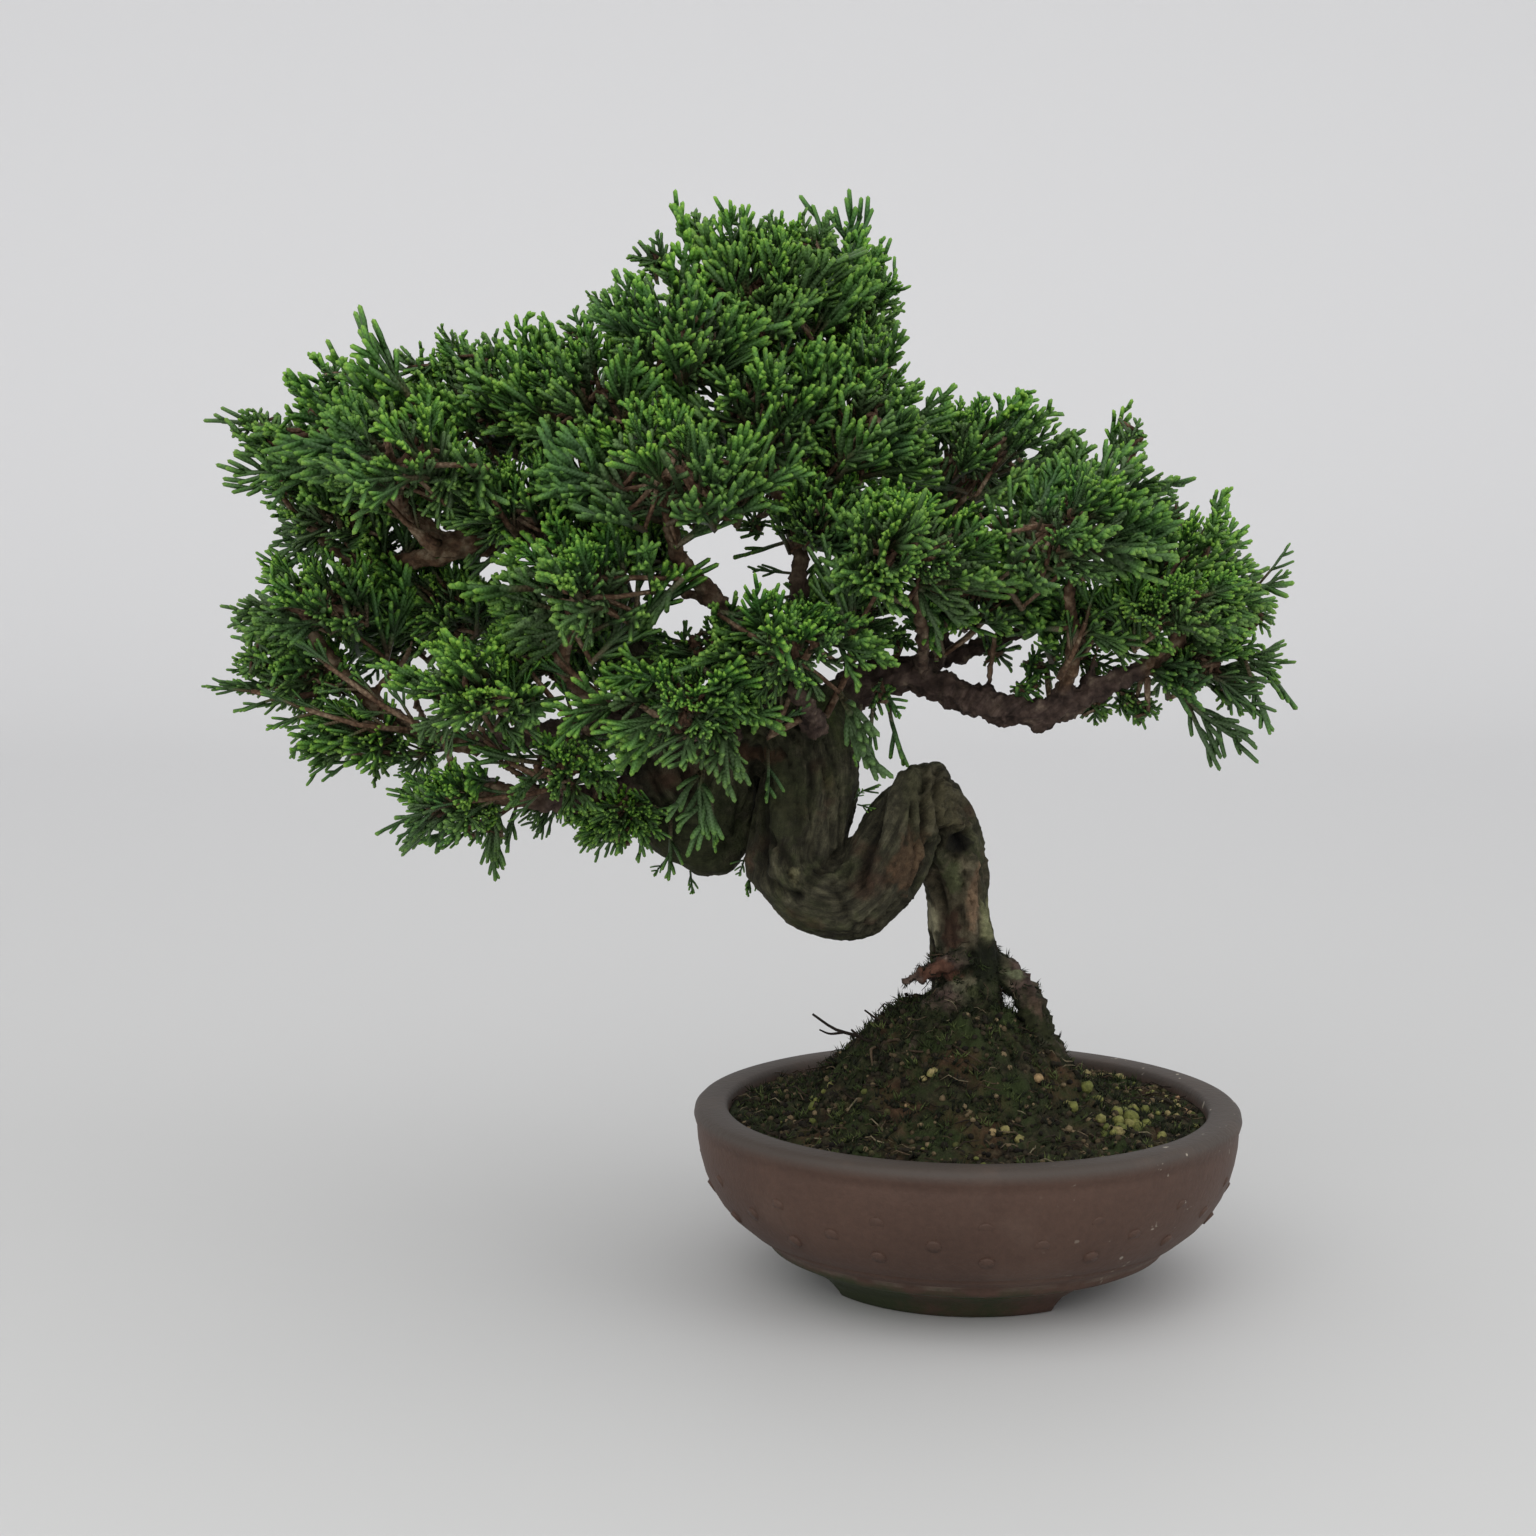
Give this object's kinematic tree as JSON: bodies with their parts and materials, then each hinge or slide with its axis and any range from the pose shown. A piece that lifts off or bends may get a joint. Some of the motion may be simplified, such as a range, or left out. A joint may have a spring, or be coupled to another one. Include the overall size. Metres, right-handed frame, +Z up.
{
  "type": "chinese juniper bonsai",
  "caption": "Miniature Chinese juniper with a thick winding trunk and dense scale-leaf foliage leaning to one side, grown in a round studded stoneware pot on a foot ring.",
  "frame": {"origin": "on the surface that the pot stands on, under the middle of the whole object's box; the pot's own axis is 64.5 mm to the right of it and 4.6 mm in front of it", "axes": "+Z up, -Y towards the front of the tree, +X to the right as seen from the front"},
  "size_m": [0.3142, 0.168, 0.3118],
  "materials": {
    "stoneware": "matte",
    "plastic_mesh": "matte",
    "soil": "matte",
    "bark": "matte",
    "foliage": "satin"
  },
  "bodies": {
    "root": {"pot": "stoneware", "drainage_screen": "plastic_mesh", "soil": "soil", "trunk_and_branches": "bark", "foliage_apex_top": "foliage", "foliage_apex_right": "foliage", "foliage_apex_left": "foliage", "foliage_apex_back": "foliage", "foliage_shoulder": "foliage", "foliage_shoulder_back": "foliage", "foliage_ridge_left": "foliage", "foliage_far_left_top": "foliage", "foliage_far_left_front": "foliage", "foliage_far_left_under": "foliage", "foliage_far_left_back": "foliage", "foliage_left_mid": "foliage", "foliage_left_mid_inner": "foliage", "foliage_left_mid_back": "foliage", "foliage_left_low": "foliage", "foliage_left_drop": "foliage", "foliage_inner_left": "foliage", "foliage_mid_left_front": "foliage", "foliage_lower_left_front": "foliage", "foliage_low_left_tip": "foliage", "foliage_low_left_mid": "foliage", "foliage_low_left_inner": "foliage", "foliage_left_centre": "foliage", "foliage_left_centre_high": "foliage", "foliage_centre_left_low": "foliage", "foliage_centre_front": "foliage", "foliage_centre_low": "foliage", "foliage_centre_right_low": "foliage", "foliage_centre_top": "foliage", "foliage_centre_high": "foliage", "foliage_centre_right_mid": "foliage", "foliage_centre_back": "foliage", "foliage_mid_back": "foliage", "foliage_apex_right_low": "foliage", "foliage_right_high": "foliage", "foliage_right_high_outer": "foliage", "foliage_right_front_inner": "foliage", "foliage_right_front": "foliage", "foliage_right_back": "foliage", "foliage_right_back_outer": "foliage", "foliage_right_centre": "foliage", "foliage_right_under": "foliage", "foliage_far_right": "foliage", "foliage_far_right_front": "foliage", "foliage_far_right_low": "foliage"}
  },
  "joints": []
}
